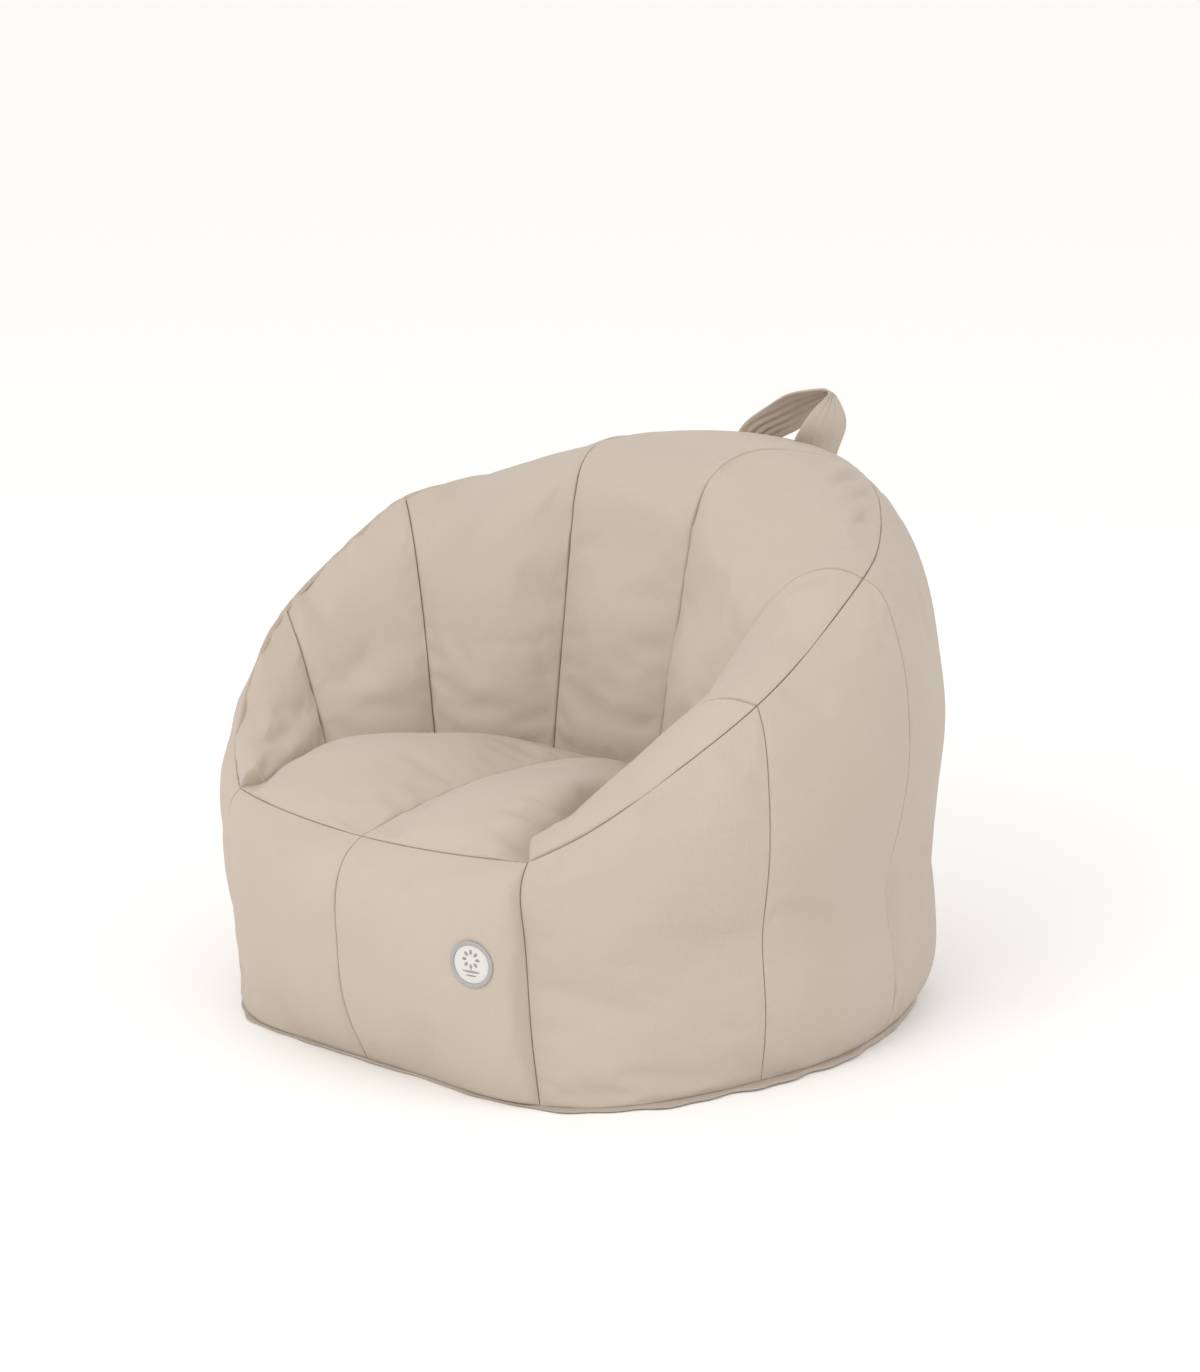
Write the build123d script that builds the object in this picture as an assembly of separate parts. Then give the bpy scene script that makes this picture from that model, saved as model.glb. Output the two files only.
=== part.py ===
from build123d import *

import os
from math import cos, hypot, pi, radians, sin

# Child's tub-shaped bean bag chair. Origin on the floor at the middle of the plan,
# +Z up, the open front towards -Y. Angles are turned from the front (-Y) towards +X.
# The cover is symmetric about X = 0; every length is in millimetres.

FABRIC = 3.0  # canvas panel with its lining and turned edges
SEAM_GAP = 0.5  # clearance between two panels that are sewn edge to edge
STEPS = 4  # spans of a panel between two seams

# Upright seams of the outer wall: angle, then (radius, height) from the rim to the floor.
WALL_SEAMS = (
    (0.0, ((262, 189), (283, 172), (291, 141), (290, 108), (284, 60), (270, 28), (239, 0))),
    (35.0, ((303, 198), (304, 160), (303, 125), (301, 90), (300, 55), (299, 25), (297, 0))),
    (71.5, ((268, 302), (282, 262), (288, 220), (287, 170), (283, 110), (284, 55), (268, 0))),
    (101.0, ((257, 380), (280, 352), (298, 295), (299, 240), (291, 175), (289, 85), (272, 0))),
    (155.0, ((265, 424), (280, 380), (292, 315), (294, 240), (292, 160), (290, 75), (270, 0))),
)
WALL_SEAMS += ((205.0, WALL_SEAMS[-1][1]),)
WALL_PUFF = (6.0, 5.0, 4.0, 2.0, 2.0)  # how far each span of wall swells between its seams

# Seams of the tub's inside: foot at the seat, angle of the rim end, then
# (distance out from the foot, height) from the seat up over the crest to the rim.
TUB_SEAMS = (
    ((158, -238), 35.0,
     ((0, 194), (3, 196), (6, 198), (9, 199), (12, 200), (14, 200), (16, 199), (18.4, 198))),
    ((167, -128), 71.5,
     ((0, 190), (10, 215), (25, 245), (42, 276), (58, 294), (72, 303), (86, 306), (97, 302))),
    ((138, -34), 101.0,
     ((0, 190), (10, 225), (28, 265), (50, 310), (75, 350), (100, 375), (120, 384), (142, 380))),
    ((57, 25), 155.0,
     ((0, 190), (10, 245), (21, 308), (35, 385), (52, 430), (95, 456), (155, 446), (222, 424))),
)
TUB_PUFF = (9.0, 14.0, 12.0, 6.0)
BACK_BOW = 5.0  # the middle of the back's foot lies this much behind its two seams
BACK_RISE = 4.0  # and its crest this much above them

SEAT_HALF = 154.0  # half width of the seat top
SEAT_CORNER = 172.0  # half width of the seat's front edge
SEAT_BOW = 12.0  # the front edge draws back by this much from its middle to its corners
SEAT_STEPS = 6  # spans of a seat section from front to back
SEAT_FRONT = 262.0  # front edge of the seat from the origin, at the middle
SEAT_EDGE_HEIGHT = 189.0
SEAT_CREST = 38.0  # how far each half of the seat swells above its edge
SEAT_VALLEY = 14.0  # the same at the middle seam
SEAT_SECTIONS = (1.0, 38.0, 78.0, 118.0, SEAT_HALF)
SEAT_INSET = 5.0  # clearance from the panels round the seat

BASE_INSET = 5.0  # the base panel lies inside the foot of the wall
BASE_POINTS = 36  # points of the base's outline
ZIP_Y = 60.0  # the zip crosses the base behind the middle
ZIP_HALF = 172.0  # half of the zip's toothed length
ZIP_SLOT = 14.0  # half width of the opening that shows the zip
ZIP_MARGIN = 8.0  # the opening runs past the teeth by this much
TAPE_WIDTH = 24.0
TAPE_THICKNESS = 0.8
TAPE_BOTTOM = FABRIC
TAPE_EDGE = 2.6  # distance of a tape's toothed edge from the zip's centre line
TOOTH_PITCH = 5.0
TOOTH_LENGTH = 3.2
TOOTH_TIP = 0.8  # half of the channel between the two rows, where the slider's web runs
TOOTH_BOTTOM = 1.9
TOOTH_TOP = 4.9
TEETH_MARGIN = 1.0  # from a stop to the first tooth
STOP_LENGTH = 4.0
SLIDER_LENGTH = 13.0
SLIDER_WIDTH = 8.4
SLIDER_WEB = 0.8
SLIDER_PLATE = 1.1
SLIDER_PLAY = 0.4
SLIDER_CORNER = 1.6
SLIDER_MARGIN = 0.6  # from the stop to the parked slider
LUG_SIZE = (5.0, 1.8, 0.8)
LUG_ROOT = 0.2  # depth of the lug's root in the slider's top plate

HANDLE_Y = 254.0  # middle of the strap's width
HANDLE_HINGE = 262.0  # the feet are stitched into the rim seam here
HANDLE_FOOT = 431.0
HANDLE_TOP = 479.0
HANDLE_HALF = 49.0  # outer half span of the loop
HANDLE_WIDTH = 48.0
HANDLE_THICKNESS = 2.4
HANDLE_CORNER = 9.0  # outer radius where the strap turns
HANDLE_SLOUCH = (-44.0, 445.0, 14.0)  # the loop leans over: its far leg's knee, and its top's far end
HANDLE_FRONT_CUT = 25.0  # how high the foot's front corner is cut to clear the crest
HANDLE_REAR_CUT = 10.0
HANDLE_FOOT_HALF = 3.0  # half width of the stitched end

BADGE_ANGLE = 25.3
BADGE_HEIGHT = 114.0
BADGE_RADIUS = 20.0
BADGE_FACE_RADIUS = 16.8
BADGE_THICKNESS = 1.2
BADGE_GAP = 0.3
BADGE_PROUD = 0.7  # allows for the wall's curve under the flat badge
BADGE_RIM = 0.4  # the border stands above the face

BAG_RADIUS = 245.0  # inner bag, and the beads that fill it
BAG_FLOOR = 9.0
BAG_SEAT_TOP = 172.0
BAG_WALL_TOP = 280.0
BAG_BACK_TOP = 392.0
BAG_CHAMFER = 24.0
BAG_SKIN = 1.5
BAG_LAP = 30.0  # the upper parts reach this far down into the drum
BAG_WALL_STEP = 4.0  # the crescent's radius is this much less than the drum's
BAG_BACK_STEP = 8.0
BAG_WALL_FRONT = 15.0  # the crescent starts here, behind the middle
BAG_HOLLOW = (-45.0, 192.0)  # place and radius of the round space in front of the crescent
BAG_BACK = (118.0, 112.0)  # half width of the high back part, and how far back it starts

FAR = 400.0  # beyond the chair in every direction


def round_plan(angle, radius):
    """Plan position at an angle from the front and a distance from the origin."""
    return radius * sin(radians(angle)), -radius * cos(radians(angle))


def mix(a, b, f):
    """Value a fraction f of the way from a to b."""
    return a + (b - a) * f


def wall_profile(angle):
    """(radius, height) points of the outer wall at one angle, rim first, on the +X side."""
    for (a, low), (b, high), puff in zip(WALL_SEAMS, WALL_SEAMS[1:], WALL_PUFF):
        if angle <= b:
            f = (angle - a) / (b - a)
            last = len(low) - 1
            swell = [puff * sin(pi * f) * sin(pi * k / last) for k in range(last + 1)]
            return [(mix(p[0], q[0], f) + s, mix(p[1], q[1], f)) for p, q, s in zip(low, high, swell)]


def strip(frame, outline, inward):
    """Closed wire: an outline of (across, up) points and the same line moved inward."""
    def place(across, up):
        (x, y), (dx, dy) = frame
        return Vector(x + dx * across, y + dy * across, up)

    inner = []
    for k, (s, z) in enumerate(outline):
        s0, z0 = outline[max(k - 1, 0)]
        s1, z1 = outline[min(k + 1, len(outline) - 1)]
        length = hypot(s1 - s0, z1 - z0)
        inner.append((s + inward * (z1 - z0) / length, z - inward * (s1 - s0) / length))
    out = [place(*p) for p in outline]
    back = [place(*p) for p in inner]
    return Wire([Spline(*out), Line(out[-1], back[-1]), Spline(*reversed(back)), Line(back[0], out[0])])


def panel(wires):
    """Solid panel through a row of closed strips."""
    return Solid.make_loft(wires)


def wall_strip(angle):
    """Strip of the outer wall at one angle; the wall is a mirror image past 180 degrees."""
    turned = min(angle, 360 - angle)
    side = 1 if angle <= 180 else -1
    x, y = round_plan(turned, 1.0)
    return strip(((0, 0), (side * x, y)), wall_profile(turned), FABRIC)


def wall_panel(start, end):
    """One panel of the outer wall between two upright seams."""
    return panel([wall_strip(mix(start, end, k / STEPS)) for k in range(STEPS + 1)])


def rim_point(angle):
    """Plan position of the rim seam at an angle from the front, on the +X side."""
    return round_plan(angle, wall_profile(angle)[0][0])


def tub_strip(low, high, puff, f, mirrored):
    """Strip of the tub's inside a fraction f of the way between two of its seams."""
    (foot_a, angle_a, line_a), (foot_b, angle_b, line_b) = low, high
    foot = Vector(mix(foot_a[0], foot_b[0], f), mix(foot_a[1], foot_b[1], f))
    rim = Vector(*rim_point(mix(angle_a, angle_b, f)))
    reach = rim - foot
    across = reach.normalized()
    span = mix(line_a[-1][0], line_b[-1][0], f)
    scale = (reach.length - FABRIC - SEAM_GAP) / span
    line = [(mix(p[0], q[0], f) * scale, mix(p[1], q[1], f)) for p, q in zip(line_a, line_b)]
    last = len(line) - 1
    swollen = []
    for k, (s, z) in enumerate(line):
        s0, z0 = line[max(k - 1, 0)]
        s1, z1 = line[min(k + 1, last)]
        length = hypot(s1 - s0, z1 - z0)
        swell = puff * sin(pi * f) * sin(pi * k / last)
        swollen.append((s - swell * (z1 - z0) / length, z + swell * (s1 - s0) / length))
    side = -1 if mirrored else 1
    return strip(((side * foot.X, foot.Y), (side * across.X, across.Y)), swollen, FABRIC)


def tub_panel(index, mirrored=False):
    """One inner panel between two neighbouring seams of the tub."""
    low, high = TUB_SEAMS[index], TUB_SEAMS[index + 1]
    puff = TUB_PUFF[index]
    return panel([tub_strip(low, high, puff, k / STEPS, mirrored) for k in range(STEPS + 1)])


def back_strip(f):
    """Strip of the middle back panel, from its +X seam (f = 0) to its -X seam (f = 1)."""
    foot, angle, line = TUB_SEAMS[-1]
    turned = mix(angle, 360 - angle, f)
    radius = wall_profile(min(turned, 360 - turned))[0][0]
    rim = Vector(*round_plan(turned, radius))
    start = Vector(mix(foot[0], -foot[0], f), foot[1] + BACK_BOW * sin(pi * f))
    reach = rim - start
    across = reach.normalized()
    scale = (reach.length - FABRIC - SEAM_GAP) / line[-1][0]
    last = len(line) - 1
    swollen = []
    for k, (s, z) in enumerate(line):
        s0, z0 = line[max(k - 1, 0)]
        s1, z1 = line[min(k + 1, last)]
        length = hypot((s1 - s0) * scale, z1 - z0)
        swell = TUB_PUFF[-1] * sin(pi * f) * sin(pi * k / last)
        rise = BACK_RISE * sin(pi * f) * k / last
        swollen.append((s * scale - swell * (z1 - z0) / length,
                        z + rise + swell * (s1 - s0) * scale / length))
    return strip(((start.X, start.Y), (across.X, across.Y)), swollen, FABRIC)


def seat_back(x):
    """How far back the seat's top reaches at a distance x from the middle."""
    line = ((0.0, 30.0),) + tuple(seam[0] for seam in reversed(TUB_SEAMS))
    for (x0, y0), (x1, y1) in zip(line, line[1:]):
        if x0 <= x <= x1:
            return mix(y0, y1, (x - x0) / (x1 - x0))
    return line[-2][1]


def seat_strip(x, side):
    """Strip of the seat's top that runs from front to back at a distance x from the middle."""
    front = -SEAT_FRONT + SEAT_BOW * (x / SEAT_CORNER) ** 2 + SEAT_INSET
    back = seat_back(x) - SEAT_INSET
    swell = SEAT_VALLEY + (SEAT_CREST - SEAT_VALLEY) * sin(pi * x / SEAT_CORNER) ** 0.7
    points = []
    for k in range(SEAT_STEPS + 1):
        f = k / SEAT_STEPS
        points.append((mix(front, back, f), SEAT_EDGE_HEIGHT + swell * sin(pi * f ** 0.85)))
    return strip(((side * x, 0), (0, 1)), points, FABRIC)


def seat_panel(side):
    """Left or right half of the seat's top, crowned on each side of the middle seam."""
    return panel([seat_strip(x, side) for x in SEAT_SECTIONS])


def block(x0, x1, y0, y1, z0, z1):
    """Plain box between two corners."""
    return Pos((x0 + x1) / 2, (y0 + y1) / 2, (z0 + z1) / 2) * Box(x1 - x0, y1 - y0, z1 - z0)


def base_disc():
    """Whole base panel before it is cut for the zip."""
    points = []
    for k in range(BASE_POINTS):
        angle = 360 * k / BASE_POINTS
        radius = wall_profile(min(angle, 360 - angle))[-1][0] - BASE_INSET
        points.append(round_plan(angle, radius))
    return extrude(make_face(Spline(*points, periodic=True)), FABRIC)


def base_half(rear):
    """Front or rear half of the base; the halves meet beyond the ends of the zip."""
    low, high = (ZIP_Y, FAR) if rear else (-FAR, ZIP_Y)
    half = base_disc() & block(-FAR, FAR, low, high, -1, FABRIC + 1)
    ends = ZIP_HALF + ZIP_MARGIN
    return half - block(-ends, ends, ZIP_Y - ZIP_SLOT, ZIP_Y + ZIP_SLOT, -1, FABRIC + 1)


def zip_tape(side):
    """Woven tape sewn inside one half of the base; side is -1 in front and 1 behind."""
    inner, outer = side * TAPE_EDGE, side * (TAPE_EDGE + TAPE_WIDTH)
    low, high = sorted((ZIP_Y + inner, ZIP_Y + outer))
    ends = ZIP_HALF + ZIP_MARGIN
    return block(-ends, ends, low, high, TAPE_BOTTOM, TAPE_BOTTOM + TAPE_THICKNESS)


def zip_teeth(side):
    """One row of teeth on its tape's edge; the rear row is half a pitch along."""
    low, high = sorted((ZIP_Y + side * TOOTH_TIP, ZIP_Y + side * TAPE_EDGE))
    count = int((2 * ZIP_HALF - 2 * STOP_LENGTH) / TOOTH_PITCH) - 1
    start = -ZIP_HALF + STOP_LENGTH + TEETH_MARGIN + (TOOTH_PITCH / 2 if side > 0 else 0)
    teeth = []
    for k in range(count):
        x = start + TOOTH_PITCH * k
        teeth.append(block(x, x + TOOTH_LENGTH, low, high, TOOTH_BOTTOM, TOOTH_TOP))
    return Compound(children=teeth)


def zip_stops():
    """Moulded stops that close the two ends of the zip."""
    stops = []
    for x in (-ZIP_HALF, ZIP_HALF - STOP_LENGTH):
        stops.append(block(x, x + STOP_LENGTH, ZIP_Y - TAPE_EDGE, ZIP_Y + TAPE_EDGE,
                           TOOTH_BOTTOM, TOOTH_TOP))
    return Compound(children=stops)


def zip_slider():
    """Locking slider with no pull: two plates joined by a web, and a low lug outside."""
    end = ZIP_HALF - STOP_LENGTH - SLIDER_MARGIN
    start = end - SLIDER_LENGTH
    half = SLIDER_WIDTH / 2
    low_top = TOOTH_BOTTOM - SLIDER_PLAY
    high_bottom = TOOTH_TOP + SLIDER_PLAY
    bottom = block(start, end, ZIP_Y - half, ZIP_Y + half, low_top - SLIDER_PLATE, low_top)
    top = block(start, end, ZIP_Y - half, ZIP_Y + half, high_bottom, high_bottom + SLIDER_PLATE)
    web = block(start, end, ZIP_Y - SLIDER_WEB / 2, ZIP_Y + SLIDER_WEB / 2,
                low_top - SLIDER_PLATE / 2, high_bottom + SLIDER_PLATE / 2)
    bottom = fillet(bottom.edges().filter_by(Axis.Z), SLIDER_CORNER)
    top = fillet(top.edges().filter_by(Axis.Z), SLIDER_CORNER)
    length, width, height = LUG_SIZE
    middle = (start + end) / 2
    lug = block(middle - length / 2, middle + length / 2, ZIP_Y - width / 2, ZIP_Y + width / 2,
                high_bottom + SLIDER_PLATE - LUG_ROOT, high_bottom + SLIDER_PLATE + height)
    return bottom + top + web + lug


def handle_strap():
    """Strap loop that slouches to one side, with its feet cut to clear the crest."""
    knee_x, knee_z, top_x = HANDLE_SLOUCH
    deep = HANDLE_FOOT - 2 * HANDLE_CORNER
    outline = Polygon((-HANDLE_HALF, deep), (HANDLE_HALF, deep), (HANDLE_HALF, HANDLE_TOP),
                      (top_x, HANDLE_TOP), (knee_x, knee_z), (-HANDLE_HALF, HANDLE_FOOT), align=None)
    outer = offset(offset(outline, -HANDLE_CORNER), HANDLE_CORNER)
    section = outer - offset(outer, -HANDLE_THICKNESS)
    loop = Pos(0, HANDLE_Y, 0) * extrude(Plane.XZ * section, HANDLE_WIDTH / 2, both=True)
    # The foot narrows to a blunt point at the rim seam, so that the loop can lean both ways.
    low, high = HANDLE_Y - HANDLE_WIDTH / 2, HANDLE_Y + HANDLE_WIDTH / 2
    side = [(low - 1, HANDLE_FOOT + HANDLE_FRONT_CUT), (HANDLE_HINGE - HANDLE_FOOT_HALF, HANDLE_FOOT),
            (HANDLE_HINGE + HANDLE_FOOT_HALF, HANDLE_FOOT), (high + 1, HANDLE_FOOT + HANDLE_REAR_CUT),
            (high + 1, HANDLE_TOP + 1), (low - 1, HANDLE_TOP + 1)]
    outline = Plane.YZ * make_face(Polyline(*side, close=True))
    return loop & extrude(outline, FAR, both=True)


def badge_plane():
    """Plane that lies on the front wall where the badge is sewn."""
    def on_wall(angle, height):
        profile = wall_profile(angle)
        for (r0, z0), (r1, z1) in zip(profile, profile[1:]):
            if z1 <= height <= z0:
                radius = mix(r0, r1, (height - z0) / (z1 - z0))
                return Vector(*round_plan(angle, radius), height)

    here = on_wall(BADGE_ANGLE, BADGE_HEIGHT)
    across = on_wall(BADGE_ANGLE + 3, BADGE_HEIGHT) - on_wall(BADGE_ANGLE - 3, BADGE_HEIGHT)
    up = on_wall(BADGE_ANGLE, BADGE_HEIGHT + 20) - on_wall(BADGE_ANGLE, BADGE_HEIGHT - 20)
    normal = across.cross(up).normalized()
    return Plane(here + normal * (BADGE_GAP + BADGE_PROUD), x_dir=across.normalized(), z_dir=normal)


def badge_face():
    """Round face of the sewn badge."""
    return badge_plane() * extrude(Circle(BADGE_FACE_RADIUS), BADGE_THICKNESS)


def badge_ring():
    """Raised border round the badge's face."""
    return badge_plane() * extrude(Circle(BADGE_RADIUS) - Circle(BADGE_FACE_RADIUS),
                                   BADGE_THICKNESS + BADGE_RIM)


def drum(radius, bottom, top):
    """Round block about the origin between two heights."""
    return Pos(0, 0, bottom) * Cylinder(radius, top - bottom, align=(Align.CENTER, Align.CENTER, Align.MIN))


def bag(inset):
    """Filled space inside the cover: a drum under the seat and a crescent up the back."""
    radius = BAG_RADIUS - inset
    lower = drum(radius, BAG_FLOOR + inset, BAG_SEAT_TOP - inset)
    lower = chamfer(lower.edges().sort_by(Axis.Z)[0], BAG_CHAMFER)
    start = BAG_SEAT_TOP - BAG_LAP
    hollow_y, hollow_radius = BAG_HOLLOW
    hollow = Pos(0, hollow_y, 0) * drum(hollow_radius + inset, start - 1, BAG_WALL_TOP + 1)
    wall = drum(radius - BAG_WALL_STEP, start, BAG_WALL_TOP - inset) - hollow
    wall = wall & block(-FAR, FAR, BAG_WALL_FRONT + inset, FAR, 0, FAR)
    half, rear = BAG_BACK
    back = drum(radius - BAG_BACK_STEP, start, BAG_BACK_TOP - inset)
    back = back & block(-half + inset, half - inset, rear + inset, FAR, 0, FAR)
    return lower + wall + back


SPANS = (("arm", 0, 1), ("shoulder", 1, 2), ("wing", 2, 3))

nodes = {
    "front_panel_right": wall_panel(0.0, 35.0),
    "front_panel_left": wall_panel(325.0, 360.0),
    "seat_panel_right": seat_panel(1),
    "seat_panel_left": seat_panel(-1),
    "outer_panel_back": wall_panel(155.0, 205.0),
    "inner_panel_back": panel([back_strip(k / STEPS) for k in range(STEPS + 1)]),
    "base_panel_front": base_half(False),
    "base_panel_rear": base_half(True),
    "zip_tape_front": zip_tape(-1),
    "zip_tape_rear": zip_tape(1),
    "zip_teeth_front": zip_teeth(-1),
    "zip_teeth_rear": zip_teeth(1),
    "zip_stops": zip_stops(),
    "zip_slider": zip_slider(),
    "handle_strap": handle_strap(),
    "badge_face": badge_face(),
    "badge_ring": badge_ring(),
    "inner_bag": bag(0) - bag(BAG_SKIN),
    "bead_fill": bag(BAG_SKIN + SEAM_GAP),
}
for name, first, second in SPANS:
    start, end = TUB_SEAMS[first][1], TUB_SEAMS[second][1]
    nodes[f"outer_panel_{name}_right"] = wall_panel(start, end)
    nodes[f"outer_panel_{name}_left"] = wall_panel(360 - end, 360 - start)
    nodes[f"inner_panel_{name}_right"] = tub_panel(first)
    nodes[f"inner_panel_{name}_left"] = tub_panel(first, mirrored=True)

os.makedirs("parts", exist_ok=True)
for name, shape in nodes.items():
    export_step(shape, f"parts/{name}.step")
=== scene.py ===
"""A child's tub-shaped bean bag chair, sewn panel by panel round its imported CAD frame."""
from math import radians, sin, cos, pi

import bmesh
import bpy
import numpy as np
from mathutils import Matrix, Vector


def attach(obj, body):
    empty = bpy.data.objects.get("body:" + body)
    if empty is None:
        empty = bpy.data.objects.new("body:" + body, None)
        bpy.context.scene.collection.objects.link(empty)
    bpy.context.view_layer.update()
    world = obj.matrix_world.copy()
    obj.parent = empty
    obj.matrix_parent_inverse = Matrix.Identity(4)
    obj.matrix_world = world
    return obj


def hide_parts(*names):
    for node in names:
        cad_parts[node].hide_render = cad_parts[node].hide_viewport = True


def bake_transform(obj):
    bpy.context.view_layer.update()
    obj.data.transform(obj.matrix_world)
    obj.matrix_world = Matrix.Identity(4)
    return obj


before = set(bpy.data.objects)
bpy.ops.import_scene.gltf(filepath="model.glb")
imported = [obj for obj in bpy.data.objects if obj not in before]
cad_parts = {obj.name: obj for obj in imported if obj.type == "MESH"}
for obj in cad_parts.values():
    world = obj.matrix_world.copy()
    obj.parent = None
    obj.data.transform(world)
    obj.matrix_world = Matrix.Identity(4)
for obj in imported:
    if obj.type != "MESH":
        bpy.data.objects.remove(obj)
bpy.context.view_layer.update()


# ---------------------------------------------------------------- studio
# A wide sheet of pale paper lies under the chair, in a bright white room. One large soft box
# stands in front and a weaker one at the side, so the tub's inside falls into half shade.
VIEW_AZIMUTH = radians(41.5)
VIEW_HEIGHT = radians(14.0)
VIEW_DISTANCE = 3.15
VIEW_ASIDE = 0.0135
VIEW_UP = 0.26
LENS = 99.7
PAPER_HALF = 40.0
PAPER_COLOUR = (0.97, 0.97, 0.965, 1)

back = Vector((sin(VIEW_AZIMUTH) * cos(VIEW_HEIGHT), -cos(VIEW_AZIMUTH) * cos(VIEW_HEIGHT),
               sin(VIEW_HEIGHT)))
aside = Vector((cos(VIEW_AZIMUTH), sin(VIEW_AZIMUTH), 0))
camera = bpy.data.objects.new("camera", bpy.data.cameras.new("camera"))
camera.data.lens = LENS
camera.location = aside * VIEW_ASIDE + Vector((0, 0, VIEW_UP)) + back * VIEW_DISTANCE
camera.rotation_euler = back.to_track_quat("Z", "Y").to_euler()
bpy.context.scene.collection.objects.link(camera)
bpy.context.scene.camera = camera
bpy.context.scene.view_settings.view_transform = "Standard"


def node_material(name, colour, roughness):
    """New node material with its Principled shader's plain colour and roughness set."""
    material = bpy.data.materials.new(name)
    material.use_nodes = True
    shader = material.node_tree.nodes["Principled BSDF"]
    shader.inputs["Base Color"].default_value = colour
    shader.inputs["Roughness"].default_value = roughness
    return material, material.node_tree.nodes, material.node_tree.links, shader


def add_piece(name, points, faces, material):
    """Mesh object at the origin from arrays of points and of faces."""
    mesh = bpy.data.meshes.new(name)
    mesh.from_pydata(points, [], faces)
    mesh.polygons.foreach_set("use_smooth", np.ones(len(mesh.polygons), bool))
    mesh.materials.append(material)
    mesh.update()
    piece = bpy.data.objects.new(name, mesh)
    bpy.context.scene.collection.objects.link(piece)
    return piece


paper = node_material("studio_paper", PAPER_COLOUR, 0.9)[0]
floor = add_piece("floor", [(-PAPER_HALF, -PAPER_HALF, 0), (PAPER_HALF, -PAPER_HALF, 0),
                            (PAPER_HALF, PAPER_HALF, 0), (-PAPER_HALF, PAPER_HALF, 0)],
                  [(0, 1, 2, 3)], paper)

world = bpy.data.worlds.new("studio")
world.use_nodes = True
world.node_tree.nodes["Background"].inputs["Color"].default_value = (1.0, 0.99, 0.975, 1)
world.node_tree.nodes["Background"].inputs["Strength"].default_value = 1.0
bpy.context.scene.world = world


def soft_box(name, azimuth, height, distance, size, power, colour):
    """Square area light at an azimuth and a height angle, turned towards the chair."""
    light = bpy.data.lights.new(name, "AREA")
    light.size = size
    light.energy = power
    light.color = colour
    a, e = radians(azimuth), radians(height)
    away = Vector((sin(a) * cos(e), -cos(a) * cos(e), sin(e)))
    lamp = bpy.data.objects.new(name, light)
    lamp.location = Vector((0, 0, 0.25)) + away * distance
    lamp.rotation_euler = away.to_track_quat("Z", "Y").to_euler()
    bpy.context.scene.collection.objects.link(lamp)


soft_box("key_box", 5, 34, 3.2, 1.8, 30, (1.0, 0.97, 0.94))
soft_box("fill_box", 95, 28, 3.4, 2.2, 10, (1.0, 0.98, 0.97))


# ---------------------------------------------------------------- outer wall
# Seven canvas panels stand between upright seams from the rim to the base. Each is cut
# wider than its seams and swells as the beads press on it; the edges are turned in and sewn.
SPACING = 0.0058
CLOSER_ENDS = 0.45
HEM_ACROSS = np.array([1.0, 0.35, 0.06, 0.06]) / 1000
HEM_DOWN = np.array([0.05, 0.3, 1.2, 4.5]) / 1000
# How much painted shade darkens each hem ring, from the seam line down into the groove.
SEAM_SHADE = np.array([0.0, 0.6, 1.0, 1.0])
CLOTH = 0.0007
SIM_FRAMES = 18
CLOTH_STIFF, CLOTH_SHEAR, CLOTH_BEND = 22, 12, 1.5
CLOTH_MASS, CLOTH_DAMPING, AIR_DAMPING = 0.3, 8, 3

CORNER = 33.3

# Angle from the front, then (radius, height) in metres from the rim down to the base seam.
WALL_SEAMS = {
    0.0: [(.262, .188), (.282, .174), (.291, .150), (.291, .110), (.285, .062), (.273, .030), (.259, .003)],
    CORNER: [(.2896, .1935), (.296, .187), (.3005, .176), (.3015, .145), (.300, .102), (.299, .060),
             (.299, .030), (.302, .002)],
    70.7: [(.2748, .3045), (.284, .288), (.291, .260), (.295, .221), (.295, .185), (.290, .150), (.286, .120),
           (.289, .090), (.292, .060), (.290, .030), (.286, .004)],
    101.0: [(.257, .380), (.270, .373), (.281, .354), (.293, .315), (.299, .275), (.300, .240), (.294, .190),
            (.285, .150), (.282, .117), (.287, .090), (.291, .055), (.288, .025), (.279, .006)],
    155.0: [(.256, .4205), (.270, .403), (.282, .370), (.289, .310), (.291, .240), (.290, .160), (.289, .080),
            (.286, .030), (.273, .006)],
}
WALL_RADIUS = .29
# The front corner's seam wanders: fraction of its length, degrees towards the side.
CORNER_SWAY = [(0, 0), (.09, -.7), (.27, -.4), (.5, .2), (.75, .8), (1, 2.0)]
# The rim and the seat's front edge: angle, radius, height.
RIM_FRONT = [(0, .262, .188), (12, .266, .189), (24, .278, .1915), (CORNER, .2896, .1935)]
RIM_TUB = [(CORNER, .2896, .1935), (41, .289, .2133), (53, .283, .251), (70.7, .2748, .3045),
           (86, .262, .345), (101, .257, .380), (113, .249, .391), (128, .244, .402), (141, .248, .412),
           (155, .256, .4205), (168, .2615, .4270), (180, .263, .4285), (192, .2615, .4270)]
# The base seam all the way round, radius and height; the bag slumps over it at one front corner.
BASE_LINE = [(0, .259), (10, .262), (17, .270), (25, .286), (35, .302), (44, .307), (53, .301), (70.7, .286),
             (86, .283), (101, .279), (128, .279), (155, .273), (180, .277), (205, .273), (232, .279),
             (259, .279), (289.3, .279), (307, .284), (316, .286), (325, .288), (335, .281), (343, .269),
             (350, .262), (360, .259)]
BASE_SEAM = [(0, .003), (35, .002), (70.7, .004), (101, .006), (155, .006), (180, .006), (205, .006)]
# How far a panel swells past its seams, near the rim and near the base.
WALL_PUFF = {0.0: (.003, .003), CORNER: (-.001, -.009), 70.7: (.001, .000), 101.0: (.001, .000),
             155.0: (.001, .001)}


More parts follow.
